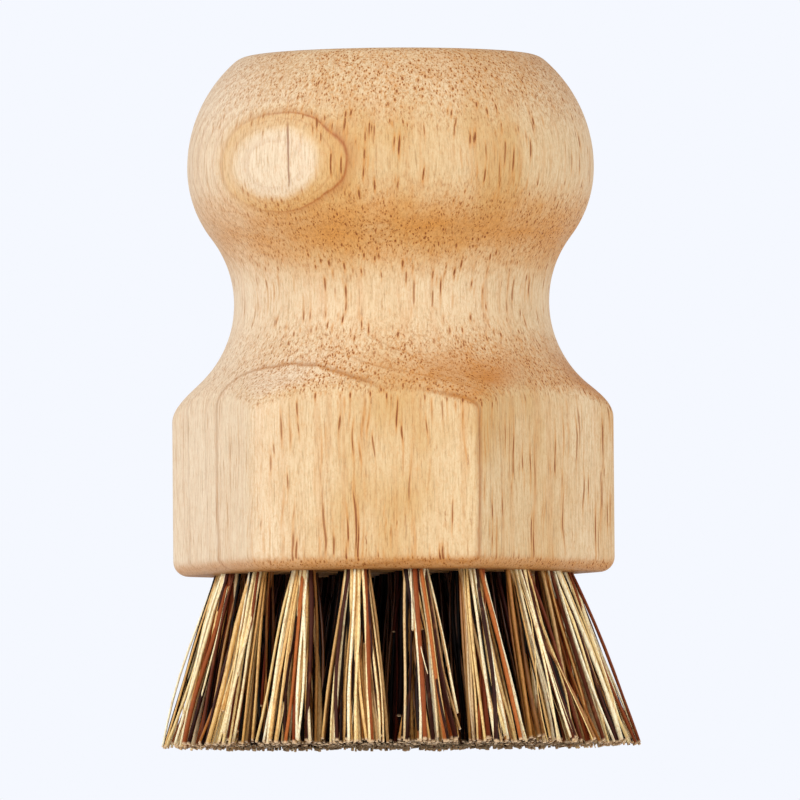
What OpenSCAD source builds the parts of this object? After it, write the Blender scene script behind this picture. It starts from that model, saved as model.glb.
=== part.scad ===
// Palm brush: a turned knob handle on a hexagonal wooden base, with splayed
// holes in its underside that each hold one tuft of bristles on a wire staple.
// All sizes are millimetres. The bristle tips stand on z = 0 and +Z points up to the knob.
// One flat of the hexagonal base faces -Y.

/* [Overall] */
// Height from the bristle tips to the flat top of the knob
total_height = 90; // [84:0.5:98]
// Length of bristle that shows below the wood
bristle_length = 22.2; // [18:0.2:26]

/* [Knob and neck] */
// Radius of the knob where it is widest
knob_radius = 26.6; // [25.6:0.1:27.6]
// Depth of the widest place below the flat top
knob_depth = 14.6; // [13.5:0.1:15.5]
// Radius of the arc over the upper side of the knob
knob_upper_arc = 18.5; // [17.5:0.1:19.5]
// Radius of the arc under the lower side of the knob
knob_lower_arc = 15; // [14:0.1:16]
// Radius of the rounded rim of the flat top
rim_arc = 3; // [1.5:0.1:4]
// Radius of the waist of the neck
neck_radius = 20.6; // [19.6:0.1:21.6]
// Depth of the waist below the flat top
neck_depth = 32.3; // [31.5:0.1:33.5]

/* [Base] */
// Width of the hexagonal base across its flats
across_flats = 51.2; // [50.8:0.2:52.4]
// Radius of the worn upright corners, measured from the axis
corner_radius = 29.2; // [28.6:0.1:29.4]
// Radius of the rounding from the shoulder into the corners and flats
shoulder_arc = 4.4; // [3.5:0.1:5]
// Radius of the rounding along the lower edge of the base
lower_edge_arc = 2; // [1:0.1:2.4]

/* [Tuft holes] */
// Distance from one ring of holes to the next
ring_pitch = 7.25; // [6.6:0.05:7.3]
// Turn of the rings from the middle of the front face, in degrees
ring_turn = 15.5; // [0:0.5:60]
// Diameter of a tuft hole
hole_diameter = 3.6; // [3.4:0.1:4]
// Depth of a tuft hole along its own axis
hole_depth = 11; // [9:0.5:14]

/* [Bristles] */
// Radius of the whole brush face at the bristle tips
face_radius = 31.5; // [28:0.1:33]
// Diameter of one bristle
bristle_diameter = 0.42; // [0.3:0.02:0.44]
// Rings of bristles round the middle one of a tuft
bristle_rings = 3; // [1:1:3]
// Side gap between a packed tuft and the wall of its hole
tuft_gap = 0.05; // [0.03:0.01:0.1]
// Clear space between neighbouring tufts at their tips
tip_gap = 0.4; // [0.2:0.1:2]

/* [Staples] */
// Diameter of the staple wire
wire_diameter = 0.6; // [0.4:0.05:0.7]
// Width of a staple between the middles of its two legs
staple_width = 2.4; // [1.8:0.1:2.6]
// Depth to which the legs are driven into the wood past the hole
leg_bite = 3.5; // [2:0.5:5]

/* [Hidden] */
$fn = 96;
RING_NAMES = ["centre", "inner", "middle", "outer"];
LAST_RING = len(RING_NAMES) - 1;

// Ring r holds six tufts more than the ring inside it, and the centre holds one.
function ring_count(r) = r == 0 ? 1 : 6 * r;
function tuft_name(r, i) = r == 0 ? "tuft_centre" : str("tuft_", RING_NAMES[r], "_", i + 1);
TUFTS = [for (r = [0 : LAST_RING]) for (i = [0 : ring_count(r) - 1]) [r, i]];

// Points of an arc about a centre, from one angle to another, in steps of about arc_step degrees.
arc_step = 5;
function arc(centre, radius, from, to) =
    let (steps = ceil(abs(to - from) / arc_step))
    [for (i = [0 : steps])
        let (a = from + (to - from) * i / steps)
        centre + radius * [cos(a), sin(a)]];
function direction(from, to) = atan2(to[1] - from[1], to[0] - from[0]);

// Centres of the five arcs of the turned profile, as [radius, height].
// Each arc touches the next one, so the profile has no kink.
underside = bristle_length;
knob_height = total_height - knob_depth;
neck_height = total_height - neck_depth;
upper_centre = [knob_radius - knob_upper_arc, knob_height];
lower_centre = [knob_radius - knob_lower_arc, knob_height];
rim_height = total_height - rim_arc;
rim_centre = [
    upper_centre[0] + sqrt(pow(knob_upper_arc - rim_arc, 2) - pow(rim_height - knob_height, 2)),
    rim_height
];
// The neck arc has the one radius at which it touches the arc under the knob.
neck_inset = neck_radius - lower_centre[0];
neck_fall = knob_height - neck_height;
neck_arc = (pow(neck_inset, 2) + pow(neck_fall, 2) - pow(knob_lower_arc, 2))
    / (2 * (knob_lower_arc - neck_inset));
neck_centre = [neck_radius + neck_arc, neck_height];
// The shoulder arc stands under the neck arc, at the height where the two touch.
shoulder_reach = corner_radius - shoulder_arc;
shoulder_centre = [
    shoulder_reach,
    neck_height - sqrt(pow(neck_arc + shoulder_arc, 2) - pow(neck_centre[0] - shoulder_reach, 2))
];

// The flats are sanded into the shoulder by an arc that leans in from each flat
// and runs out through the shoulder a little past the place where the two cross.
half_width = across_flats / 2;
brow_lean = 40;
brow_run_out = 0.3;
brow_reach = half_width - shoulder_arc * (1 - cos(brow_lean));
brow_top = neck_height - sqrt(pow(neck_arc, 2) - pow(neck_centre[0] - brow_reach, 2)) + brow_run_out;
brow_start = brow_top - shoulder_arc * sin(brow_lean);

// Tuft axes fan out from one point on the brush axis, so that the outermost
// tuft reaches the edge of the brush face and each tuft has the same room.
tip_pitch = (face_radius + tip_gap / 2) / (LAST_RING + 0.5);
tuft_tip_radius = (tip_pitch - tip_gap) / 2;
tuft_radius = hole_diameter / 2 - tuft_gap;
bristle_radius = bristle_diameter / 2;
wire_radius = wire_diameter / 2;
// Radius of the fold at the inner end of a tuft, where the bristles bend round the staple,
// a little wider than the tuft itself.
fold_share = 1.15;
fold_radius = fold_share * tuft_radius;
tuft_length = hole_depth - tuft_gap;
// Each ring of bristles in a tuft is turned against the ring inside it.
bristle_turn = 15;
staple_crown = staple_width / 2;
staple_depth = hole_depth - fold_radius;
// Depth at which the separate bristles start inside the packed end of the tuft,
// and how far inside its side the outermost ones leave it.
bristle_start = 0.5;
bristle_inset = bristle_radius / 2;
// Sides of the round pieces that are too small to need as many as the handle.
wire_sides = 24;
tuft_sides = 48;
bristle_sides = 16;
// Length that a cutting shape runs on past the face that it cuts.
overrun = 2;

function hole_radius_at(r) = r * ring_pitch;
function tip_shift(r) = r * (tip_pitch - ring_pitch);
function splay(r) = atan2(tip_shift(r), bristle_length);
function tuft_angle(r, i) = ring_turn - 90 + i * 360 / ring_count(r);

// Moves to the mouth of a hole, with +X pointing out from the brush axis.
module at_mouth(r, i) {
    rotate([0, 0, tuft_angle(r, i)])
        translate([hole_radius_at(r), 0, underside])
            children();
}

// Moves to the mouth of a hole, with +Z running up along the hole's own axis.
module along_hole(r, i) {
    at_mouth(r, i)
        rotate([0, -splay(r), 0])
            children();
}

// Half of the turned profile, from the flat top down to the underside.
module turned_profile() {
    polygon(concat(
        [[0, total_height]],
        arc(rim_centre, rim_arc, 90, direction(upper_centre, rim_centre)),
        arc(upper_centre, knob_upper_arc, direction(upper_centre, rim_centre) - arc_step, 0),
        arc(lower_centre, knob_lower_arc, -arc_step, direction(lower_centre, neck_centre)),
        arc(neck_centre, neck_arc,
            direction(neck_centre, lower_centre) + arc_step,
            direction(neck_centre, shoulder_centre) + 360),
        arc(shoulder_centre, shoulder_arc,
            direction(shoulder_centre, neck_centre) - arc_step, 0),
        [[corner_radius, underside - overrun], [0, underside - overrun]]
    ));
}

// One side of the outline of a pair of opposite flats: the rounded lower edge, the
// flat, the rounding into the shoulder, and then free of the neck and the knob.
function flat_outline() = concat(
    arc([half_width - lower_edge_arc, underside + lower_edge_arc], lower_edge_arc, -90, 0),
    arc([half_width - shoulder_arc, brow_start], shoulder_arc, 0, brow_lean),
    [[across_flats, brow_top], [across_flats, total_height + overrun]]
);

// A long slab as thick as the base is across its flats.
module flat_pair() {
    side = flat_outline();
    last = len(side) - 1;
    slab_length = 3 * across_flats;
    rotate([90, 0, 90])
        linear_extrude(height = slab_length, center = true)
            polygon(concat(side, [for (i = [last : -1 : 0]) [-side[i][0], side[i][1]]]));
}

// The six flats of the base, as three slabs that cross at 60 degrees.
module six_flats() {
    intersection() {
        flat_pair();
        rotate([0, 0, 60]) flat_pair();
        rotate([0, 0, 120]) flat_pair();
    }
}

// A blind hole for one tuft, along its own splayed axis.
module tuft_hole() {
    translate([0, 0, -overrun])
        cylinder(h = hole_depth + overrun, d = hole_diameter);
}

// One U-shaped wire: an arched crown across the tuft and two legs driven into the wood.
module staple() {
    leg_length = hole_depth - staple_depth + leg_bite;
    translate([0, 0, staple_depth]) {
        rotate([90, 0, 90])
            rotate([0, 0, 180])
                rotate_extrude(angle = 180)
                    translate([staple_crown, 0])
                        circle(r = wire_radius, $fn = wire_sides);
        for (side = [-1, 1])
            translate([0, side * staple_crown, 0])
                cylinder(h = leg_length, r = wire_radius, $fn = wire_sides);
    }
}

// The bores that the two legs press into the wood past the end of the hole.
module leg_bores() {
    for (side = [-1, 1])
        translate([0, side * staple_crown, hole_depth - overrun])
            cylinder(h = leg_bite + overrun, r = wire_radius, $fn = wire_sides);
}

module handle() {
    color("burlywood")
        difference() {
            intersection() {
                rotate_extrude() turned_profile();
                six_flats();
            }
            for (t = TUFTS)
                along_hole(t[0], t[1]) {
                    tuft_hole();
                    leg_bores();
                }
        }
}

module staples() {
    color("lightsteelblue")
        for (t = TUFTS)
            along_hole(t[0], t[1])
                staple();
}

// The packed end of a tuft in its hole, rounded where the bristles fold round the staple.
module packed_end() {
    intersection() {
        cylinder(h = tuft_length, r = tuft_radius, $fn = tuft_sides);
        union() {
            translate([0, 0, tuft_length - fold_radius])
                rotate([90, 0, 0])
                    cylinder(h = 4 * tuft_radius, r = fold_radius, center = true, $fn = tuft_sides);
            translate([-overrun, -overrun, -overrun])
                cube([2 * overrun, 2 * overrun, overrun + tuft_length - fold_radius]);
        }
    }
}

// One straight bristle through two points, run on at both ends.
module bristle(start, tip) {
    way = tip - start;
    translate(start)
        rotate([0, acos(way[2] / norm(way)), atan2(way[1], way[0])])
            translate([0, 0, -bristle_start])
                cylinder(h = norm(way) + bristle_start + overrun, r = bristle_radius, $fn = bristle_sides);
}

// The bristles of one tuft, in rings, fanned from the mouth of the hole to the tips.
module fan(r) {
    mouth_reach = tuft_radius - bristle_radius - bristle_inset;
    tip_reach = tuft_tip_radius - bristle_radius;
    for (ring = [0 : bristle_rings])
        for (i = [0 : ring_count(ring) - 1]) {
            share = ring / bristle_rings;
            a = i * 360 / ring_count(ring) + ring * bristle_turn;
            side = share * [cos(a), sin(a), 0];
            bristle(mouth_reach * side, tip_reach * side + [tip_shift(r), 0, -bristle_length]);
        }
}

// A slab that fills everything just below the plane of the bristle tips.
module below_tips() {
    translate([-2 * face_radius, -2 * face_radius, -2 * overrun])
        cube([4 * face_radius, 4 * face_radius, 2 * overrun]);
}

// One tuft: its packed end and its bristles, cut flat at the tips, with room for the staple.
module tuft(r, i) {
    color("wheat")
        difference() {
            union() {
                along_hole(r, i) packed_end();
                at_mouth(r, i) fan(r);
            }
            along_hole(r, i) staple();
            below_tips();
        }
}

handle();
staples();
for (t = TUFTS)
    tuft(t[0], t[1]);
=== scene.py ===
import math
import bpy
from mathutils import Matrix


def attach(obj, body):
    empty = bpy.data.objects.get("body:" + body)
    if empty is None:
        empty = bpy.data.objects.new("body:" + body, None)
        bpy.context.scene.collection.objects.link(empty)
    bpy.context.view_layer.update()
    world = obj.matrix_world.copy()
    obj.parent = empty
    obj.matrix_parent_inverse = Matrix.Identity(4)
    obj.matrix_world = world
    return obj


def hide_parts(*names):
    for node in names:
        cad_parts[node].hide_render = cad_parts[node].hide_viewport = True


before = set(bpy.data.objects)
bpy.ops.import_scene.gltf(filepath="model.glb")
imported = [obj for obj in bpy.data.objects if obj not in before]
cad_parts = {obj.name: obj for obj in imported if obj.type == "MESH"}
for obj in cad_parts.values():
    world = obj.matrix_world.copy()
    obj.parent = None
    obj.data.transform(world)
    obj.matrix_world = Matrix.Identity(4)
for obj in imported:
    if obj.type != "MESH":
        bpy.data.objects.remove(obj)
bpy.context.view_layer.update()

from types import SimpleNamespace

import bpy
import numpy as np
from mathutils import Matrix, Vector
from mathutils.geometry import delaunay_2d_cdt

# Sizes of the brush in millimetres, as in its construction. MM turns them into metres.
MM = 0.001
TOTAL_HEIGHT = 90.0
UNDERSIDE = 22.2
KNOB_RADIUS, KNOB_HEIGHT = 26.6, 75.4
UPPER_ARC, LOWER_ARC, RIM_ARC = 18.5, 15.0, 3.0
NECK_RADIUS, NECK_HEIGHT = 20.6, 57.7
CONE_HEIGHT, CONE_RADIUS, CONE_SLOPE = 46.79, 25.77, 1.222
HALF_WIDTH = 25.6
LOWER_EDGE_ARC = 2.0
RING_PITCH, RING_TURN, RINGS = 7.25, 15.5, 4
HOLE_RADIUS, HOLE_DEPTH = 1.8, 11.0
DRILL_POINT, DRILL_POINT_RADIUS = 0.5, HOLE_RADIUS * 0.4
FACE_RADIUS, TIP_GAP = 31.5, 0.4
TIP_PITCH = (FACE_RADIUS + TIP_GAP / 2) / (RINGS - 0.5)

# Wear on the handle: how sharp the upright corners are, and how wide the flats run into the
# shoulder, which swings six times round.
CORNER_POWER = 46
FLAT_BLEND, FLAT_BLEND_SWING = 3.2, 1.1

# Fineness of the handle's skin: columns round it, sides of a hole, the heights at which the
# spacing of its rows changes, how many rows each part has, how many degrees the rows of the
# rim cover, and the sizes of the rings on the flat top as shares of the rim's.
HANDLE_COLUMNS, HOLE_SIDES = 480, 28
KNOB_FOOT, SHOULDER_TOP, SHOULDER_FOOT = 62.0, 50.0, 38.0
RIM_ROWS, KNOB_ROWS, NECK_ROWS, SHOULDER_ROWS, SIDE_ROWS, EDGE_ROWS = 12, 46, 18, 44, 10, 9
RIM_SWEEP = 58
TOP_RINGS = np.array([0.985, 0.95, 0.85, 0.7, 0.52, 0.34, 0.16])

# Fibres: the seed of the first tuft, how many fibres are in a tuft, the sides of each, the
# shares of pale, brown and dark ones, their radii, and the broad blades and thin wisps.
FIRST_SEED = 100
FIBRE_COUNT, FIBRE_SIDES = 62, 5
# The inner tufts have more dark fibres than the outer ring: real dark fibres, but more of them as painted
# shade between the tufts.
OUTER_SHARES, INNER_SHARES = (0.66, 0.15, 0.19), (0.40, 0.20, 0.40)
PALE_RADII, BROWN_RADII, DARK_RADII = (0.13, 0.22), (0.18, 0.34), (0.17, 0.32)
BLADE_SHARE, BLADE_RADIUS = 0.12, 0.32
WISP_SHARE, WISP_RADIUS, WISP_CURL = 0.07, 0.07, 3.5

# How much a fibre's thickness wavers along it, the turns in radians at which its sides may
# start, and how close its tone may come to that of the next kind.
THICKNESS_WAVER, START_TURNS, TONE_MARGIN = 0.08, (0, 6), 0.02

# How the fibres lie: where along them their rings of points are, how unevenly they are trimmed,
# how many are broken, stray or crossing, how much of a broken one is left, how far past the
# middle between two tufts a tip may lie, how loosely they stand in the hole and at the tips,
# how much they bend and wave, and how far they all lean right.
FIBRE_STEPS = np.array([-0.2, 0.0, 0.08, 0.18, 0.3, 0.44, 0.58, 0.72, 0.86, 1.0])
TRIM_OVER, TRIM_WAVER = 0.35, 0.3
BROKEN_SHARE, STRAY_SHARE, CROSSING_SHARE = 0.06, 0.14, 0.3
BROKEN_PARTS, TIP_LIMITS = (0.35, 0.95), (-0.2, 0.6)
MOUTH_GAP, TIP_GATHER, TIP_JITTER, STRAY_REACH = 0.2, 0.2, 0.26, 2.2
BEND, WAVE, LEAN = 0.28, 0.12, 0.9

# Painted shade on the fibres of the outer ring, darker towards the wood: its share in the
# middle of a tuft, how fast that falls outwards, and at most. Inner tufts get it in full.
PAINTED_SHADE_MIDDLE, PAINTED_SHADE_FALL, PAINTED_SHADE_MOST = 0.25, 0.7, 0.8

# The camera stands a little to the right of the front face and a little below the brush.
CAMERA_TURN = math.radians(8)
CAMERA_RISE = math.radians(-2.4)
CAMERA_ROLL = math.radians(0.45)
CAMERA_RIGHT = np.array([math.cos(CAMERA_TURN), math.sin(CAMERA_TURN), 0.0])
CAMERA_DISTANCE = 2.1
AIM_RIGHT, AIM_HEIGHT, FRAME_WIDTH = 1.0 * MM, 45.0 * MM, 104.6 * MM


# Camera

def place_camera():
    """The camera looks along its own -Z at the aim point, from far off, and is rolled a little."""
    aim = Vector(CAMERA_RIGHT * AIM_RIGHT) + Vector((0, 0, AIM_HEIGHT))
    away = Vector((
        math.sin(CAMERA_TURN) * math.cos(CAMERA_RISE),
        -math.cos(CAMERA_TURN) * math.cos(CAMERA_RISE),
        math.sin(CAMERA_RISE),
    ))
    data = bpy.data.cameras.new("photo_camera")
    data.sensor_width = 36
    data.lens = data.sensor_width * CAMERA_DISTANCE / FRAME_WIDTH
    data.clip_start = 0.1
    data.clip_end = 20
    camera = bpy.data.objects.new("photo_camera", data)
    turned = away.to_track_quat("Z", "Y").to_matrix() @ Matrix.Rotation(-CAMERA_ROLL, 3, "Z")
    camera.matrix_world = Matrix.Translation(aim + away * CAMERA_DISTANCE) @ turned.to_4x4()
    bpy.context.scene.collection.objects.link(camera)
    bpy.context.scene.camera = camera


# Meshes

def new_piece(name, points, faces, material, smooth=True):
    """A mesh object at the origin from points in millimetres and lists of corner numbers."""
    mesh = bpy.data.meshes.new(name)
    mesh.from_pydata(np.asarray(points) * MM, [], faces)
    mesh.validate()
    mesh.polygons.foreach_set("use_smooth", np.full(len(mesh.polygons), smooth))
    mesh.materials.append(material)
    piece = bpy.data.objects.new(name, mesh)
    bpy.context.scene.collection.objects.link(piece)
    return piece


def add_values(piece, name, values):
    """Stores one number for each point of the mesh, for its material to read."""
    layer = piece.data.attributes.new(name, "FLOAT", "POINT")
    layer.data.foreach_set("value", np.asarray(values, np.float32).ravel())


def grid_faces(rows, columns, start=0):
    """Quads between neighbouring rows of a grid whose columns close into a ring."""
    row, column = np.meshgrid(np.arange(rows - 1), np.arange(columns), indexing="ij")
    after = (column + 1) % columns
    quads = np.stack([
        row * columns + column,
        row * columns + after,
        (row + 1) * columns + after,
        (row + 1) * columns + column,
    ], -1)
    return quads.reshape(-1, 4) + start


# The wooden handle

def turned_radius(z):
    """Radius of the turned profile at a height: the circle arcs of rim, knob and neck, each
    r = centre +- sqrt(arc^2 - (z - centre height)^2), and below them a straight cone,
    r = cone radius + (cone height - z) * slope."""
    upper = KNOB_RADIUS - UPPER_ARC
    lower = KNOB_RADIUS - LOWER_ARC
    rim_height = TOTAL_HEIGHT - RIM_ARC
    rim = upper + math.sqrt((UPPER_ARC - RIM_ARC) ** 2 - (rim_height - KNOB_HEIGHT) ** 2)
    rim_start = KNOB_HEIGHT + (rim_height - KNOB_HEIGHT) * UPPER_ARC / (UPPER_ARC - RIM_ARC)
    inset, fall = NECK_RADIUS - lower, KNOB_HEIGHT - NECK_HEIGHT
    neck_arc = (inset ** 2 + fall ** 2 - LOWER_ARC ** 2) / (2 * (LOWER_ARC - inset))
    neck = NECK_RADIUS + neck_arc
    neck_end = NECK_HEIGHT + fall * neck_arc / (neck_arc + LOWER_ARC)

    def arc(centre, radius, height, sign=1):
        """centre + sign * sqrt(radius^2 - (z - height)^2)"""
        return centre + sign * np.sqrt(np.maximum(radius ** 2 - (z - height) ** 2, 0))

    return np.select(
        [z > rim_start, z > KNOB_HEIGHT, z > neck_end, z > CONE_HEIGHT],
        [arc(rim, RIM_ARC, rim_height), arc(upper, UPPER_ARC, KNOB_HEIGHT),
         arc(lower, LOWER_ARC, KNOB_HEIGHT), arc(neck, neck_arc, NECK_HEIGHT, -1)],
        CONE_RADIUS + (CONE_HEIGHT - z) * CONE_SLOPE,
    )


def hexagon_radius(turn):
    """Radius of the six flats with worn corners: half / (sum of max(cos(turn - flat), 0)^p)^(1/p)."""
    flats = np.radians(np.arange(6) * 60 - 90)
    reach = np.maximum(np.cos(turn[..., None] - flats), 0) ** CORNER_POWER
    return HALF_WIDTH / reach.sum(-1) ** (1 / CORNER_POWER)


def soft_minimum(a, b, width):
    """The smaller of two values, with a quadratic blend where they differ by less than width."""
    blend = np.clip(0.5 + 0.5 * (b - a) / width, 0, 1)
    return b + (a - b) * blend - width * blend * (1 - blend)


def handle_heights():
    """Heights of the rows, from the flat top down: even steps of angle round the rim and the
    lower edge, and between them even steps of height, smaller on the tight curves."""
    rim = TOTAL_HEIGHT - RIM_ARC + RIM_ARC * np.cos(np.radians(np.linspace(0, RIM_SWEEP, RIM_ROWS)))
    knob = np.linspace(rim[-1], KNOB_FOOT, KNOB_ROWS)[1:]
    neck = np.linspace(KNOB_FOOT, SHOULDER_TOP, NECK_ROWS)[1:]
    shoulder = np.linspace(SHOULDER_TOP, SHOULDER_FOOT, SHOULDER_ROWS)[1:]
    side = np.linspace(SHOULDER_FOOT, UNDERSIDE + LOWER_EDGE_ARC, SIDE_ROWS)[1:]
    edge = UNDERSIDE + LOWER_EDGE_ARC * (1 - np.sin(np.radians(np.linspace(0, 90, EDGE_ROWS))[1:]))
    return np.concatenate([rim, knob, neck, shoulder, side, edge])


def handle_shell():
    """The outside, row by row: the turned radius above the neck, below it the soft minimum of
    the turned and the six-sided radius, less the quarter circle of the lower edge."""
    z = handle_heights()[:, None]
    turn = np.linspace(0, 2 * math.pi, HANDLE_COLUMNS, endpoint=False)[None, :]
    turned = turned_radius(z) + 0 * turn
    blend = FLAT_BLEND - FLAT_BLEND_SWING * np.cos(6 * turn)
    worn = soft_minimum(turned, hexagon_radius(turn), blend)
    radius = np.where(z < NECK_HEIGHT, worn, turned)
    rise = np.clip(UNDERSIDE + LOWER_EDGE_ARC - z, 0, LOWER_EDGE_ARC)
    radius = radius - (LOWER_EDGE_ARC - np.sqrt(LOWER_EDGE_ARC ** 2 - rise ** 2))
    return np.stack([radius * np.cos(turn), radius * np.sin(turn), z + 0 * turn], -1)


def flat_top(rim, start):
    """The flat top: copies of the rim's row, each shrunk by its share, and a middle point.
    Its points are numbered from start, and the rim's own from 0."""
    shares = TOP_RINGS[:, None, None]
    rings = rim * np.array([1, 1, 0]) * shares + np.array([0, 0, TOTAL_HEIGHT])
    near = np.arange(HANDLE_COLUMNS)
    far = (near + 1) % HANDLE_COLUMNS
    last = start + (len(shares) - 1) * HANDLE_COLUMNS
    middle = np.full(HANDLE_COLUMNS, last + HANDLE_COLUMNS)
    points = np.concatenate([rings.reshape(-1, 3), [[0, 0, TOTAL_HEIGHT]]])
    return points, [
        grid_faces(len(shares), HANDLE_COLUMNS, start),
        np.stack([near, far, start + far, start + near], -1),
        np.stack([last + near, last + far, middle], -1),
    ]


def tufts():
    """Every tuft as (name, ring, turn in radians), from the centre outwards."""
    names = ["centre", "inner", "middle", "outer"]
    found = []
    for ring in range(RINGS):
        count = max(1, 6 * ring)
        for i in range(count):
            name = "tuft_centre" if ring == 0 else f"tuft_{names[ring]}_{i + 1}"
            found.append((name, ring, math.radians(RING_TURN - 90 + i * 360 / count)))
    return found


def hole_rings(ring, turn):
    """Rings of points down one blind hole to the blunt point of the drill: mouth + axis * depth
    + radius * (cos a * across + sin a * side), with the mouth's own ring slid along the splayed
    axis onto the plane of the underside."""
    splay = math.atan2(ring * (TIP_PITCH - RING_PITCH), UNDERSIDE)
    out = np.array([math.cos(turn), math.sin(turn), 0])
    side = np.array([-math.sin(turn), math.cos(turn), 0])
    axis = np.array([0, 0, math.cos(splay)]) - out * math.sin(splay)
    across = out * math.cos(splay) + np.array([0, 0, math.sin(splay)])
    a = np.linspace(0, 2 * math.pi, HOLE_SIDES, endpoint=False)[:, None]
    mouth = out * ring * RING_PITCH + np.array([0, 0, UNDERSIDE])
    rings = []
    for depth, radius in ((0, HOLE_RADIUS), (0.5, HOLE_RADIUS), (5, HOLE_RADIUS),
                          (HOLE_DEPTH, HOLE_RADIUS), (HOLE_DEPTH + DRILL_POINT, DRILL_POINT_RADIUS)):
        circle = mouth + axis * depth + radius * (np.cos(a) * across + np.sin(a) * side)
        if depth == 0:
            circle = circle - axis * ((circle[:, 2:] - UNDERSIDE) / axis[2])
        rings.append(circle)
    return np.stack(rings)


def drilled_underside(outline, outline_numbers, start):
    """The blind holes, and the flat web of triangles between the outline and their mouths: all
    triangles inside the outline whose middle is farther than a hole's radius from every hole.
    The points of the holes are numbered from start."""
    points, faces, edges, mouths = [], [], [], []
    web_points, web_numbers = [outline[:, :2]], [outline_numbers]
    side = np.arange(HOLE_SIDES)
    for _, ring, turn in tufts():
        rings = hole_rings(ring, turn)
        points.append(rings.reshape(-1, 3))
        floor = start + (len(rings) - 1) * HOLE_SIDES
        faces.append(grid_faces(len(rings), HOLE_SIDES, start)[:, ::-1])
        faces.append(floor + side[None])
        first = sum(len(group) for group in web_points)
        edges.append(first + np.stack([side, (side + 1) % HOLE_SIDES], -1))
        mouths.append(rings[0][:, :2].mean(0))
        web_points.append(rings[0][:, :2])
        web_numbers.append(start + side)
        start += len(rings) * HOLE_SIDES
    numbers = np.concatenate(web_numbers)
    only_inside, same_place = 1, 1e-7
    web_places, _, web, origins, _, _ = delaunay_2d_cdt(
        np.concatenate(web_points).tolist(), np.concatenate(edges).tolist(),
        [list(range(HANDLE_COLUMNS))], only_inside, same_place)
    web = np.array(web)
    middles = np.array(web_places)[web].mean(1)
    gap = np.linalg.norm(middles[:, None] - np.array(mouths)[None], axis=-1).min(1)
    source = numbers[[origin[0] for origin in origins]]
    faces.append(source[web[gap > HOLE_RADIUS]][:, ::-1])
    return np.concatenate(points), faces


def make_handle(material):
    """The handle as one closed skin: the shell, the flat top and the drilled underside."""
    shell = handle_shell()
    rows = len(shell)
    top_points, top_faces = flat_top(shell[0], rows * HANDLE_COLUMNS)
    last_row = (rows - 1) * HANDLE_COLUMNS + np.arange(HANDLE_COLUMNS)
    under_points, under_faces = drilled_underside(
        shell[-1], last_row, rows * HANDLE_COLUMNS + len(top_points))
    points = np.concatenate([shell.reshape(-1, 3), top_points, under_points])
    groups = [grid_faces(rows, HANDLE_COLUMNS)[:, ::-1], *top_faces, *under_faces]
    corners = [face for group in groups for face in group.tolist()]
    return new_piece("handle_wood", points, corners, material)


# The tufts of plant fibre

def spread_disk(count):
    """Evenly packed places in a disk of radius 1: each next one turned by the golden angle."""
    i = np.arange(count) + 0.5
    a = i * math.pi * (3 - math.sqrt(5))
    return np.sqrt(i / count)[:, None] * np.stack([np.cos(a), np.sin(a)], -1)


def fibre_tubes(paths, radii, start_turn):
    """Tubes round many paths at once: rings of points across each path, at centre +
    radius * (cos a * across + sin a * other), and a cap at both ends."""
    count, steps = paths.shape[:2]
    way = np.gradient(paths, axis=1)
    way /= np.linalg.norm(way, axis=-1, keepdims=True)
    across = np.cross(way, np.array([0.0, 1.0, 0.0]))
    across /= np.linalg.norm(across, axis=-1, keepdims=True)
    other = np.cross(way, across)
    a = np.linspace(0, 2 * math.pi, FIBRE_SIDES, endpoint=False) + start_turn[:, None]
    a = a[:, None, :, None]
    points = paths[:, :, None] + radii[..., None, None] * (
        np.cos(a) * across[:, :, None] + np.sin(a) * other[:, :, None])
    firsts = (np.arange(count) * steps * FIBRE_SIDES)[:, None]
    walls = (grid_faces(steps, FIBRE_SIDES)[None] + firsts[..., None]).reshape(-1, 4)
    caps = np.concatenate([
        np.arange(FIBRE_SIDES)[None] + firsts,
        np.arange(FIBRE_SIDES)[None, ::-1] + firsts + (steps - 1) * FIBRE_SIDES,
    ])
    return points.reshape(-1, 3), walls[:, ::-1].tolist() + caps[:, ::-1].tolist()


def fibre_kinds(rng, ring):
    """Each fibre's kind (0 pale, 1 brown, 2 dark) and radius, and whether it is a thin wisp."""
    shares = OUTER_SHARES if ring == RINGS - 1 else INNER_SHARES
    kind = rng.choice(3, FIBRE_COUNT, p=shares)
    blade = rng.random(FIBRE_COUNT) < BLADE_SHARE
    radius = np.choose(kind, [
        np.where(blade, BLADE_RADIUS, rng.uniform(*PALE_RADII, FIBRE_COUNT)),
        rng.uniform(*BROWN_RADII, FIBRE_COUNT),
        rng.uniform(*DARK_RADII, FIBRE_COUNT),
    ])
    wisp = rng.random(FIBRE_COUNT) < WISP_SHARE
    return np.where(wisp, 0, kind), np.where(wisp, WISP_RADIUS, radius), wisp


def fibre_lengths(rng):
    """Lengths below the wood: down to just past the brush face, less |a normal draw|, and a
    random part of the whole where a fibre is broken."""
    length = UNDERSIDE + TRIM_OVER - np.abs(rng.normal(0, TRIM_WAVER, FIBRE_COUNT))
    broken = rng.random(FIBRE_COUNT) < BROKEN_SHARE
    return np.where(broken, UNDERSIDE * rng.uniform(*BROKEN_PARTS, FIBRE_COUNT), length)


def fibre_tips(rng, place, jitter):
    """Where the tips lie round the tuft's own tip: place in the disk * spread + jitter. Some
    places are swapped, so that fibres cross, some tips stray, and none goes far outwards."""
    stray = rng.random(FIBRE_COUNT) < STRAY_SHARE
    swapped = rng.random(FIBRE_COUNT) < CROSSING_SHARE
    source = np.where(swapped, rng.permutation(FIBRE_COUNT), np.arange(FIBRE_COUNT))
    tip = place[source] * (TIP_PITCH / 2 - TIP_GATHER) + jitter * TIP_JITTER
    tip += np.where(stray[:, None], rng.normal(0, STRAY_REACH, (FIBRE_COUNT, 2)), 0)
    tip[:, 0] = np.minimum(tip[:, 0], TIP_PITCH / 2 + rng.uniform(*TIP_LIMITS, FIBRE_COUNT))
    return tip


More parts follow.
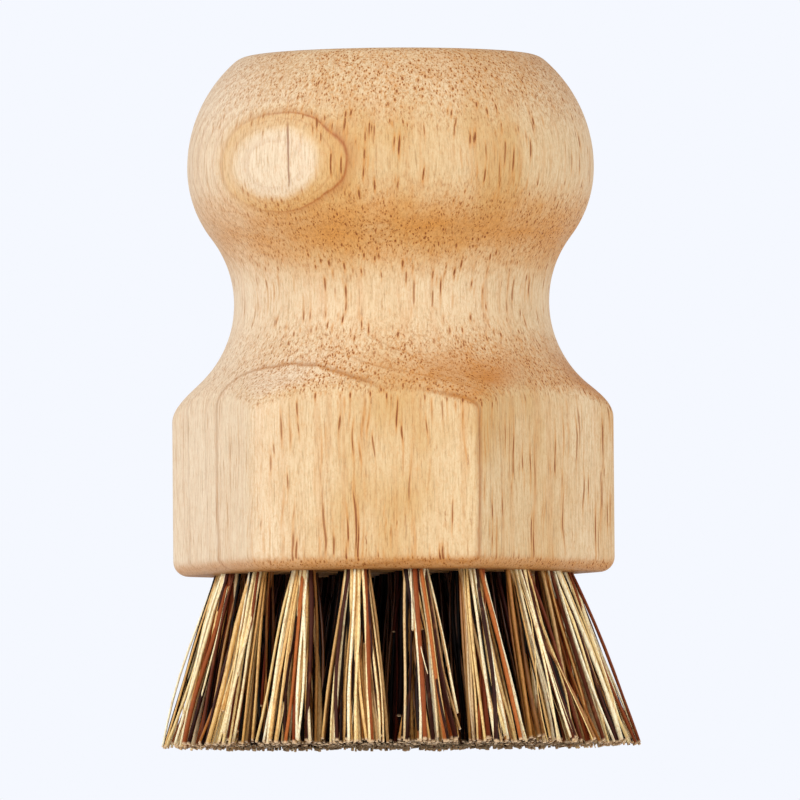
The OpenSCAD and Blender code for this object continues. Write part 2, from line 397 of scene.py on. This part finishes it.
def make_tuft(name, ring, turn, seed, material):
    """One tuft: separate fibres that leave their hole packed together and fan out to the tips.
    A fibre's middle at a depth below the wood = hole axis + place in the mouth * (1 - fan)
    + place of the tip * fan + bend * sin(pi fan) + wave * sin(2 pi fan) + lean * fan."""
    rng = np.random.default_rng(seed)
    place = spread_disk(FIBRE_COUNT)
    jitter = rng.normal(0, 1, (FIBRE_COUNT, 2))
    kind, radius, wisp = fibre_kinds(rng, ring)
    depth = FIBRE_STEPS[None] * fibre_lengths(rng)[:, None]
    along = depth / UNDERSIDE
    fan = np.clip(along, 0, 1)[..., None]

    tip = fibre_tips(rng, place, jitter)
    offset = place[:, None] * (HOLE_RADIUS - MOUTH_GAP) * (1 - fan) + tip[:, None] * fan
    curl = np.where(wisp, WISP_CURL, 1.0)[:, None, None]
    offset += rng.normal(0, BEND, (FIBRE_COUNT, 1, 2)) * curl * np.sin(math.pi * fan)
    offset += rng.normal(0, WAVE, (FIBRE_COUNT, 1, 2)) * curl * np.sin(2 * math.pi * fan)

    out = np.array([math.cos(turn), math.sin(turn)])
    side = np.array([-math.sin(turn), math.cos(turn)])
    axis = out * (ring * (RING_PITCH + (TIP_PITCH - RING_PITCH) * along))[..., None]
    flat = axis + out * offset[..., :1] + side * offset[..., 1:] + CAMERA_RIGHT[:2] * LEAN * fan
    paths = np.concatenate([flat, (UNDERSIDE - depth)[..., None]], -1)
    radii = radius[:, None] * (1 + THICKNESS_WAVER * rng.normal(0, 1, depth.shape))
    points, faces = fibre_tubes(paths, radii, rng.uniform(*START_TURNS, FIBRE_COUNT))
    piece = new_piece(name + "_fibres", points, faces, material)

    tone = (kind + rng.uniform(TONE_MARGIN, 1 - TONE_MARGIN, FIBRE_COUNT)) / 3
    # Painted shade for each fibre: full in the inner tufts, and in the outer ones more on the side towards
    # the brush's middle.
    painted_shade = np.full(FIBRE_COUNT, 1.0)
    if ring == RINGS - 1:
        painted_shade = np.clip(PAINTED_SHADE_MIDDLE - PAINTED_SHADE_FALL * place[:, 0], 0, PAINTED_SHADE_MOST)
    add_values(piece, "fibre_tone", np.repeat(tone, len(FIBRE_STEPS) * FIBRE_SIDES))
    add_values(piece, "fibre_painted_shade", np.repeat(painted_shade, len(FIBRE_STEPS) * FIBRE_SIDES))
    add_values(piece, "fibre_reach", np.repeat(np.tile(FIBRE_STEPS, FIBRE_COUNT), FIBRE_SIDES))
    return piece


# Shader building

def linear(red, green, blue):
    """Linear colour of an sRGB colour given from 0 to 255."""
    c = np.array([red, green, blue]) / 255
    return (*np.where(c <= 0.04045, c / 12.92, ((c + 0.055) / 1.055) ** 2.4), 1)


class Shading:
    """Adds nodes to one material or node group, so that its maths reads as lines of code."""

    def __init__(self, tree):
        self.tree = tree

    def node(self, kind, inputs=(), **settings):
        """A new node, with its settings, and with values or links in its sockets."""
        made = self.tree.nodes.new("ShaderNode" + kind)
        for key, value in settings.items():
            setattr(made, key, value)
        for key, value in dict(inputs).items():
            self.give(value, made.inputs[key])
        return made

    def give(self, value, socket):
        """Links a socket's value into another socket, or sets a plain value on it."""
        if isinstance(value, bpy.types.NodeSocket):
            self.tree.links.new(value, socket)
        else:
            socket.default_value = value

    def math(self, operation, *values):
        """The result of one step of maths on up to three values."""
        return self.node("Math", enumerate(values), operation=operation).outputs[0]

    def plus(self, a, b):
        """a + b"""
        return self.math("ADD", a, b)

    def times(self, first, *others):
        """All values multiplied."""
        for other in others:
            first = self.math("MULTIPLY", first, other)
        return first

    def larger(self, a, b):
        """The larger of a and b."""
        return self.math("MAXIMUM", a, b)

    def fit(self, value, factor, shift):
        """value * factor + shift"""
        return self.math("MULTIPLY_ADD", value, factor, shift)

    def vector(self, operation, a, b):
        """A node for one step of maths on two vectors."""
        return self.node("VectorMath", {0: a, 1: b}, operation=operation)

    def scaled(self, vector, *factors):
        """A vector with each part multiplied by its own factor."""
        return self.vector("MULTIPLY", vector, factors).outputs[0]

    def dot(self, a, b):
        """How far vector a reaches along vector b: the sum of their parts' products."""
        return self.vector("DOT_PRODUCT", a, b).outputs["Value"]

    def millimetres(self):
        """The place on the object, in millimetres."""
        return self.scaled(self.node("TexCoord").outputs["Object"], 1000, 1000, 1000)

    def noise(self, vector, scale=1.0, detail=2.0, roughness=0.5, output="Fac"):
        """Soft noise from 0 to 1, or three of them as a colour."""
        return self.node("TexNoise", {"Vector": vector, "Scale": scale, "Detail": detail,
                                      "Roughness": roughness}).outputs[output]

    def shifted(self, vector, reach, scale, detail):
        """A vector moved by up to reach along each axis, by noise."""
        moves = self.scaled(self.noise(vector, scale, detail, output="Color"), reach, reach, reach)
        return self.vector("ADD", moves, vector).outputs[0]

    def between(self, value, low, high, start=0.0, end=1.0):
        """Rises smoothly from start to end while the value goes from low to high."""
        return self.node("MapRange", {"Value": value, "From Min": low, "From Max": high,
                                      "To Min": start, "To Max": end},
                         interpolation_type="SMOOTHSTEP").outputs["Result"]

    def ramp(self, value, stops):
        """Colours (sRGB, 0 to 255) or plain numbers at positions from 0 to 1."""
        made = self.node("ValToRGB", {0: value})
        elements = made.color_ramp.elements
        while len(elements) < len(stops):
            elements.new(0.5)
        for element, (position, colour) in zip(elements, stops):
            element.position = position
            element.color = linear(*colour) if isinstance(colour, tuple) else (colour, colour, colour, 1)
        return made.outputs["Color"]

    def mix(self, factor, a, b, kind="MIX"):
        """Colour a with a share of colour b mixed in, or of a * b for MULTIPLY."""
        return self.node("Mix", {0: factor, 6: a, 7: b}, data_type="RGBA", blend_type=kind).outputs[2]

    def tint(self, base, factor, colour):
        """The base with a share of a colour (sRGB, 0 to 255) mixed in."""
        return self.mix(factor, base, linear(*colour))

    def bump(self, height, strength, distance):
        """The normal of a relief whose height of 1 stands for a distance in metres."""
        return self.node("Bump", {"Strength": strength, "Distance": distance, "Height": height}).outputs[0]


def make_fine_line_group():
    """Node group for fine lines along a piece, as in wood, fibre and drawn wire: noise on a
    place in millimetres, with its own number of lines per millimetre across and along."""
    group = bpy.data.node_groups.new("fine_lines", "ShaderNodeTree")
    group.interface.new_socket("Place", in_out="INPUT", socket_type="NodeSocketVector")
    for name in ("Across", "Along", "Detail", "Roughness"):
        group.interface.new_socket(name, in_out="INPUT", socket_type="NodeSocketFloat")
    group.interface.new_socket("Lines", in_out="OUTPUT", socket_type="NodeSocketFloat")
    given = group.nodes.new("NodeGroupInput").outputs
    result = group.nodes.new("NodeGroupOutput").inputs
    s = Shading(group)
    density = s.node("CombineXYZ", {0: given["Across"], 1: given["Across"], 2: given["Along"]})
    drawn = s.vector("MULTIPLY", given["Place"], density.outputs[0]).outputs[0]
    s.give(s.noise(drawn, 1.0, given["Detail"], given["Roughness"]), result["Lines"])


def fine_lines(s, place, across, along, detail, roughness=0.5):
    """Places the group of fine lines in a material, with the material's own values."""
    made = s.node("Group", node_tree=bpy.data.node_groups["fine_lines"])
    for name, value in (("Place", place), ("Across", across), ("Along", along),
                        ("Detail", detail), ("Roughness", roughness)):
        s.give(value, made.inputs[name])
    return made.outputs["Lines"]


def new_surface(name, **plain):
    """A material, its shading helper and its Principled shader with plain values set."""
    material = bpy.data.materials.new(name)
    material.use_nodes = True
    tree = material.node_tree
    shader = tree.nodes["Principled BSDF"]
    for key, value in plain.items():
        shader.inputs[key.replace("_", " ").title().replace("Ior", "IOR")].default_value = value
    return material, Shading(tree), shader


# The beech of the handle. Its growth rings are distances from an upright line behind the
# brush, the heart, so they show as ovals on the knob and as lines on the flats. OUTWARD points
# from the heart to the middle line of the brush, and ASIDE to the right of that as the camera
# sees it. Heights and places are in millimetres. The swelling that makes the oval is OVAL_WIDTH
# wide and OVAL_HEIGHT high to each side of its middle.

HEART = np.array([11.7, 27.6, 0.0])
OUTWARD, ASIDE = np.array([-0.391, -0.921, 0.0]), np.array([0.921, -0.391, 0.0])
OVAL_WIDTH, OVAL_SHIFT, OVAL_HEIGHT, OVAL_MIDDLE, OVAL_SWELLING = 7.0, 0.36, 5.5, 74.2, 3.0
CRACK_SIDE, CRACK_MIDDLE = -13.2, 76.1

# The pale beech is partly a painted sheen.
LIGHT_BEECH, TAN_BEECH, PALE_BEECH_AND_SHEEN = (228, 199, 154), (214, 174, 116), (248, 230, 205)
# The lower edge tan is partly painted shade.
STRIPE_TAN, GRAIN_TAN, LOWER_EDGE_TAN_AND_SHADE = (208, 148, 84), (200, 140, 78), (196, 132, 74)
# The slope oranges are partly painted shade, and the underside brown is painted shade.
KNOB_SLOPE_ORANGE_AND_SHADE, SHOULDER_ORANGE_AND_SHADE, UNDERSIDE_PAINTED_SHADE = (218, 148, 64), (196, 126, 56), (112, 72, 42)
OVAL_PALE, OVAL_YELLOW, OVAL_BROWN = (241, 220, 190), (224, 176, 100), (170, 94, 36)
LATE_WOOD, LATE_WOOD_GLOW, FINE_RING = (160, 98, 36), (198, 128, 50), (178, 116, 66)
VESSEL_BROWN, VESSEL_GLOW, SPECKLE_BROWN = (132, 66, 24), (208, 140, 62), (186, 124, 60)
# The cut-end cream is partly painted light.
FIBRE_BLOTCH, CUT_END_CREAM_AND_LIGHT = (150, 92, 48), (240, 204, 160)


def growth_age(s, point, z):
    """Age of the wood at a point = distance from the heart + a bell-shaped swelling behind the
    knob + slow and quick wander + a rise towards the near corner."""
    out = s.plus(s.dot(point, tuple(OUTWARD)), -float(HEART @ OUTWARD))
    aside = s.plus(s.dot(point, tuple(ASIDE)), -float(HEART @ ASIDE))
    distance = s.math("SQRT", s.plus(s.times(out, out), s.times(aside, aside)))
    u = s.fit(aside, 1 / OVAL_WIDTH, OVAL_SHIFT)
    v = s.fit(z, 1 / OVAL_HEIGHT, -OVAL_MIDDLE / OVAL_HEIGHT)
    bell = s.math("EXPONENT", s.times(s.plus(s.times(u, u), s.times(v, v)), -0.5))
    slow = s.fit(s.noise(s.scaled(point, 0.07, 0.07, 0.02), detail=1), 1.0, -0.5)
    quick = s.fit(s.noise(s.scaled(point, 0.5, 0.5, 0.12), detail=3), 0.5, -0.25)
    wander = s.plus(s.plus(slow, quick), s.between(aside, 8.0, 26.0))
    age = s.plus(s.plus(distance, s.times(bell, OVAL_SWELLING)), wander)
    return age, aside, u, quick


def wood_places(s):
    """What the colours of the wood go by: the place, the slope of the surface, and masks for
    the left side, the knob, end grain and the clouds in the orange slopes."""
    at = SimpleNamespace(point=s.millimetres())
    at.z = s.dot(at.point, (0, 0, 1))
    at.age, at.aside, at.oval_side, at.quick = growth_age(s, at.point, at.z)
    # Right and left as the camera sees them, which the painted sheen and painted shade go by.
    at.right = s.dot(at.point, tuple(CAMERA_RIGHT))
    at.left = s.between(at.right, -5.0, -29.0)
    at.knob = s.between(at.z, 60.0, 63.0)
    normal = s.node("TexCoord").outputs["Normal"]
    at.tilt = s.dot(normal, (0, 0, 1))
    at.facing = s.dot(normal, tuple(OUTWARD))
    at.end_grain = s.between(s.math("ABSOLUTE", at.tilt), 0.12, 0.55)
    cloud = s.fit(s.noise(s.scaled(at.point, 0.16, 0.16, 0.4), detail=3), 1.1, 0.1)
    at.cloud = s.times(cloud, s.fit(at.left, -0.4, 1.0))
    return at


def broad_tones(s, at):
    """Light beech with tan patches and soft upright stripes, paler to both sides and on the left of
    the shoulder by a painted sheen, and paler on the neck and near the top."""
    neck = s.times(s.between(at.z, 65.0, 58.0), s.between(at.z, 44.0, 52.0))
    knob = s.times(s.between(at.z, 62.0, 68.0, 0.0, 0.35), s.between(at.z, 84.0, 78.0),
                   s.between(at.right, 14.0, 2.0))
    patch = s.between(s.noise(s.scaled(at.point, 0.12, 0.12, 0.06), detail=3), 0.38, 0.68)
    patch = s.times(s.plus(patch, knob), s.fit(neck, -0.6, 1.0))
    base = s.mix(patch, linear(*LIGHT_BEECH), linear(*TAN_BEECH))
    stripes = s.noise(s.scaled(at.point, 0.9, 0.9, 0.03), detail=2)
    base = s.tint(base, s.between(stripes, 0.5, 0.66, 0.0, 0.3), STRIPE_TAN)
    shoulder = s.times(s.between(at.tilt, 0.25, 0.85), s.between(at.z, 60.0, 54.0))
    # Painted sheen: paler on the camera's left, on the left of the shoulder, and a little at the far right
    # edge.
    pale = s.larger(at.left, s.times(shoulder, s.between(at.right, 0.0, -14.0)))
    pale = s.larger(pale, s.between(at.right, 16.0, 27.0, 0.0, 0.3))
    crown = s.larger(neck, s.between(at.z, 77.0, 85.0))
    return s.tint(base, s.fit(pale, 0.72, s.times(crown, 0.18)), PALE_BEECH_AND_SHEEN)


def slope_tones(s, at, base):
    """Painted shade on the underside, and cloudy orange where the slopes below the knob, on the
    shoulder and on the top cut across the grain, partly painted shade where they face down and on the
    shoulder's right."""
    # Painted shade on the underside.
    base = s.tint(base, s.between(at.tilt, -0.9, -0.99, 0.0, 0.75), UNDERSIDE_PAINTED_SHADE)
    # Orange on the slopes that face down: end grain, and painted shade.
    down = s.times(s.between(at.tilt, -0.1, -0.6), s.between(at.z, 30.0, 50.0, 0.75, 1.0))
    base = s.tint(base, s.times(down, at.cloud), KNOB_SLOPE_ORANGE_AND_SHADE)
    # Orange on the slopes that face up: end grain, with painted shade that grows towards the camera's
    # right.
    up = s.times(s.between(at.tilt, 0.25, 0.85), s.between(at.tilt, 0.8, 0.97, 1.0, 0.55))
    up = s.times(up, s.between(at.right, -16.0, 18.0, -0.1, 1.3), s.between(at.z, 60.0, 66.0, 1.0, 0.35))
    return s.tint(base, s.times(up, at.cloud), SHOULDER_ORANGE_AND_SHADE)


def knob_oval(s, at, base):
    """The oval on the knob: a pale middle, a yellowish ring and thin brown lines round it, all
    bands of age. Also returns the mask of the pale middle."""
    band = s.fit(at.age, 0.1, -5.2)
    yellow = s.ramp(band, [(0.38, 0.0), (0.45, 0.2), (0.50, 0.45), (0.58, 0.3), (0.65, 0.0)])
    base = s.tint(base, s.times(yellow, at.knob), OVAL_YELLOW)
    line = s.ramp(band, [(0.42, 0.0), (0.47, 0.4), (0.485, 1.0), (0.497, 0.2), (0.53, 0.05),
                         (0.536, 0.35), (0.55, 0.0)])
    base = s.tint(base, s.times(line, at.knob, s.between(at.oval_side, -1.2, 1.4, 0.15, 1.0)), OVAL_BROWN)
    middle = s.times(s.between(at.age, 57.7, 58.7), at.knob)
    return s.tint(base, s.times(middle, 0.85), OVAL_PALE), middle


def late_wood_lines(s, at, base):
    """Brown lines of late wood with a soft orange glow, on the shoulder and down into the near
    corner, and faint evenly spaced rings on the top and on the left of the knob."""
    low = s.times(s.between(at.z, 56.0, 52.0), s.between(at.facing, 0.90, 0.78))
    band = s.fit(at.age, 0.1, -4.9)
    lines = s.ramp(band, [
        (0.15, 0.0), (0.168, 0.5), (0.172, 0.0), (0.315, 0.0), (0.33, 0.45), (0.335, 0.0),
        (0.44, 0.0), (0.478, 0.9), (0.488, 0.4), (0.505, 0.0)])
    glow = s.ramp(band, [(0.22, 0.0), (0.33, 0.5), (0.35, 0.1), (0.45, 0.35), (0.484, 0.9), (0.50, 0.0)])
    glow = s.times(glow, s.between(at.tilt, 0.12, 0.4), s.between(at.right, -20.0, -4.0, 0.2, 1.0))
    base = s.tint(base, s.times(glow, low, s.times(at.cloud, 0.8)), LATE_WOOD_GLOW)
    lines = s.times(lines, s.between(at.aside, -6.0, 12.0, 0.65, 1.0))
    base = s.tint(base, s.times(lines, low, 0.9), LATE_WOOD)
    year = s.math("FRACT", s.times(at.age, 0.95))
    rings = s.times(s.between(year, 0.5, 0.95), s.between(year, 1.0, 0.95))
    shown = s.fit(s.times(at.left, at.knob), 0.22, 0.05)
    shown = s.larger(shown, s.between(at.tilt, 0.85, 0.98, 0.0, 0.4))
    return s.tint(base, s.times(rings, shown), FINE_RING)


def vessel_marks(s, at, wavy, clean):
    """Vessels and rays: dashes along the grain, which end grain cuts into ticks. Each layer is
    a field of cells, with a mark round the middle of the chosen ones. Also a crack through the
    oval. Returns the dark cores and their glow."""
    swayed = s.shifted(at.point, 1.8, 0.12, 1.0)
    ticks = s.fit(at.end_grain, 0.85, 0.12)
    crowd = s.noise(s.scaled(at.point, 0.16, 0.16, 0.08), detail=2)
    crowd = s.times(clean, s.between(crowd, 0.3, 0.5, 0.55, 1.0))
    dark, glow = 0.0, 0.0
    # Each layer: the place it reads, cells per mm across and along, the radius of a mark in
    # cells, the share of cells left empty, and the strength.
    for place, across, along, size, empty, strength in (
            (wavy, 2.4, 0.16, 0.24, 0.86, 0.9),
            (swayed, 1.3, 0.05, 0.18, 0.15, 1.0),
            (swayed, 1.0, 0.034, 0.16, 0.20, 0.9),
            (swayed, 1.9, 0.085, 0.20, 0.62, 0.9),
            (wavy, 3.4, 1.0, 0.36, 0.35, ticks)):
        cells = s.node("TexVoronoi", {"Vector": s.scaled(place, across, across, along), "Scale": 1.0})
        choice = s.node("SeparateColor", {0: cells.outputs["Color"]}).outputs[0]
        chosen = s.times(s.between(choice, empty, empty + 0.25), strength, crowd)
        from_middle = cells.outputs["Distance"]
        dark = s.larger(dark, s.times(s.between(from_middle, size, size * 0.6), chosen))
        glow = s.larger(glow, s.times(s.between(from_middle, size * 2.2, size * 0.6), chosen))
    sideways = s.math("ABSOLUTE", s.plus(at.right, s.fit(at.quick, 1.5, -CRACK_SIDE)))
    upwards = s.math("ABSOLUTE", s.plus(at.z, -CRACK_MIDDLE))
    crack = s.times(s.between(sideways, 0.2, 0.04), s.between(upwards, 5.0, 3.0),
                    s.between(at.facing, 0.3, 0.5, 0.0, 0.75))
    return s.larger(dark, crack), glow


def beech_surface():
    """The handle's beech: broad tones, slopes, oval and late wood, then the small marks, and
    fine lines of fibre over all, which also give it its relief."""
    material, s, shader = new_surface("handle_beech", specular_ior_level=0.3)
    at = wood_places(s)
    base = slope_tones(s, at, broad_tones(s, at))
    base, middle = knob_oval(s, at, base)
    base = late_wood_lines(s, at, base)
    # Tan along the lower edge of the handle: partly the wood's own tone, partly painted shade.
    base = s.tint(base, s.between(at.z, UNDERSIDE + 2.4, UNDERSIDE + 0.4, 0.0, 0.5), LOWER_EDGE_TAN_AND_SHADE)

    wavy = s.shifted(at.point, 0.7, 0.9, 2.0)
    clean = s.times(s.fit(middle, -0.8, 1.0), s.fit(at.left, -0.7, 1.0))
    dark, glow = vessel_marks(s, at, wavy, clean)
    crinkle = s.noise(s.scaled(wavy, 1.7, 1.7, 0.8), detail=2.5)
    crinkle = s.math("ABSOLUTE", s.plus(crinkle, -0.5))
    speckle = s.times(s.between(crinkle, 0.04, 0.0), s.fit(at.end_grain, 0.5, 0.18))
    base = s.tint(base, s.times(speckle, clean), SPECKLE_BROWN)
    base = s.tint(base, s.times(glow, 0.75), VESSEL_GLOW)
    base = s.tint(base, s.times(dark, 0.92), VESSEL_BROWN)
    lines = fine_lines(s, at.point, 4.5, 0.35, 4.0, 0.7)
    shades = s.ramp(lines, [(0.3, (172, 150, 126)), (0.45, (226, 220, 213)), (0.58, (239, 241, 245))])
    base = s.mix(0.68, base, shades, "MULTIPLY")
    grain = s.noise(s.scaled(wavy, 3.4, 3.4, 1.2), detail=3, roughness=0.7)
    base = s.tint(base, s.between(grain, 0.50, 0.38, 0.0, 0.22), GRAIN_TAN)

    relief = s.plus(s.times(lines, 0.6), s.times(s.larger(dark, speckle), -0.9))
    s.give(base, shader.inputs["Base Color"])
    s.give(s.fit(dark, 0.2, 0.5), shader.inputs["Roughness"])
    s.give(s.bump(relief, 0.4, 0.0001), shader.inputs["Normal"])
    return material


def fibre_surface():
    """Stiff plant fibre: its colour goes by the fibre's own tone, from cream through brown to
    near black, darker and warmer under painted shade inside the brush, with fine lines and a pale cut end,
    partly painted light."""
    material, s, shader = new_surface("bristle_plant_fibre", roughness=0.6, specular_ior_level=0.2,
                                      coat_roughness=0.35)
    tone = s.node("Attribute", attribute_name="fibre_tone").outputs["Fac"]
    reach = s.node("Attribute", attribute_name="fibre_reach").outputs["Fac"]
    painted_shade = s.node("Attribute", attribute_name="fibre_painted_shade").outputs["Fac"]
    point = s.millimetres()
    base = s.ramp(tone, [
        (0.0, (255, 250, 222)), (0.13, (255, 240, 192)), (0.23, (246, 218, 150)), (0.325, (222, 172, 98)),
        (0.335, (196, 116, 56)), (0.45, (158, 80, 34)), (0.6, (112, 50, 20)), (0.665, (86, 38, 18)),
        (0.675, (70, 28, 14)), (0.8, (36, 15, 10)), (1.0, (12, 7, 6)),
    ])
    lines = fine_lines(s, point, 9.0, 0.5, 2.0)
    base = s.mix(0.8, base, s.ramp(lines, [(0.3, (206, 160, 112)), (0.52, (255, 252, 246))]), "MULTIPLY")
    blotch = s.between(s.noise(s.scaled(point, 1.1, 1.1, 0.3), detail=2), 0.58, 0.72)
    base = s.tint(base, s.times(blotch, 0.35), FIBRE_BLOTCH)
    # Painted shade: the more shaded a fibre is, the darker and warmer it gets, most near the wood.
    shade_depth = s.times(painted_shade, s.between(reach, 1.0, 0.1, 0.7, 1.0))
    shade = s.ramp(shade_depth, [(0.0, (255, 255, 255)), (0.25, (226, 194, 152)), (0.55, (166, 118, 74)),
                          (1.0, (88, 50, 28))])
    base = s.mix(1.0, base, shade, "MULTIPLY")
    # Paler cut ends: partly the fibre's own colour, partly painted light from below.
    base = s.tint(base, s.times(s.between(reach, 0.985, 0.999), 0.85), CUT_END_CREAM_AND_LIGHT)
    s.give(base, shader.inputs["Base Color"])
    s.give(s.between(tone, 0.34, 0.30, 0.0, 0.6), shader.inputs["Coat Weight"])
    s.give(s.bump(lines, 0.4, 0.00004), shader.inputs["Normal"])
    return material


def steel_surface():
    """Drawn steel wire, a little dull, with faint drawing lines along it."""
    material, s, shader = new_surface("staple_steel_wire", metallic=1.0)
    lines = fine_lines(s, s.millimetres(), 9.0, 1.5, 3.0)
    s.give(s.ramp(lines, [(0.3, (150, 150, 154)), (0.7, (196, 196, 200))]), shader.inputs["Base Color"])
    s.give(s.fit(lines, 0.25, 0.25), shader.inputs["Roughness"])
    return material


# Light and floor

def make_world():
    """A pale background for the camera, and a plain even light for everything else."""
    world = bpy.data.worlds.new("pale_room")
    bpy.context.scene.world = world
    world.use_nodes = True
    world.node_tree.nodes.clear()
    s = Shading(world.node_tree)
    seen = s.node("Background", {"Color": linear(245, 248, 255), "Strength": 1.0})
    ambient = s.node("Background", {"Color": (1, 1, 1, 1), "Strength": 0.66})
    path = s.node("LightPath")
    shown = s.node("MixShader", {0: path.outputs["Is Camera Ray"], 1: ambient.outputs[0],
                                 2: seen.outputs[0]})
    s.node("OutputWorld", {"Surface": shown.outputs[0]})


def make_lamps():
    """Round lamps that face the middle of the brush, each from its own turn and rise."""
    middle = Vector((0, 0, TOTAL_HEIGHT / 2 * MM))
    lamp_distance = 0.9
    for name, turn, rise, size, power in (
            ("key_light", -32, 20, 0.4, 4.35),
            ("fill_light", 60, 12, 0.5, 2.9),
            ("floor_light", 0, -55, 0.6, 3.5)):
        data = bpy.data.lights.new(name, "AREA")
        data.shape = "DISK"
        data.size = size
        data.energy = power
        lamp = bpy.data.objects.new(name, data)
        a, e = math.radians(turn), math.radians(rise)
        away = Vector((math.sin(a) * math.cos(e), -math.cos(a) * math.cos(e), math.sin(e)))
        turned = away.to_track_quat("Z", "Y").to_matrix().to_4x4()
        lamp.matrix_world = Matrix.Translation(middle + away * lamp_distance) @ turned
        bpy.context.scene.collection.objects.link(lamp)


def make_floor():
    """A pale frosted floor 0.5 mm under the brush face, seen only from above. From 0.15 m to
    0.7 m out it fades to nothing."""
    material = bpy.data.materials.new("pale_floor")
    material.use_nodes = True
    material.node_tree.nodes.clear()
    s = Shading(material.node_tree)
    diffuse = s.node("BsdfDiffuse", {"Color": (0.86, 0.87, 0.89, 1)})
    glow = s.node("BsdfTranslucent", {"Color": (0.9, 0.9, 0.9, 1)})
    frosted = s.node("MixShader", {0: 0.85, 1: diffuse.outputs[0], 2: glow.outputs[0]})
    clear = s.node("BsdfTransparent")
    behind = s.node("NewGeometry").outputs["Backfacing"]
    place = s.node("TexCoord").outputs["Object"]
    away = s.math("SQRT", s.dot(place, place))
    open_share = s.larger(behind, s.between(away, 0.15, 0.7))
    final = s.node("MixShader", {0: open_share, 1: frosted.outputs[0], 2: clear.outputs[0]})
    s.node("OutputMaterial", {"Surface": final.outputs[0]})
    reach, height = 1000, -0.5
    corners = [[-reach, -reach, height], [reach, -reach, height], [reach, reach, height],
               [-reach, reach, height]]
    floor = new_piece("floor", corners, [[0, 1, 2, 3]], material, smooth=False)


# Assembly

bpy.context.scene.view_settings.view_transform = "Standard"
place_camera()
make_fine_line_group()
beech = beech_surface()
fibre = fibre_surface()
steel = steel_surface()

handle = make_handle(beech)
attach(handle, "root")
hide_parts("handle")

for number, (tuft_name, ring, turn) in enumerate(tufts()):
    tuft = make_tuft(tuft_name, ring, turn, FIRST_SEED + number, fibre)
    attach(tuft, "root")
    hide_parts(tuft_name)

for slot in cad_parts["staples"].material_slots:
    slot.material = steel

make_world()
make_lamps()
make_floor()
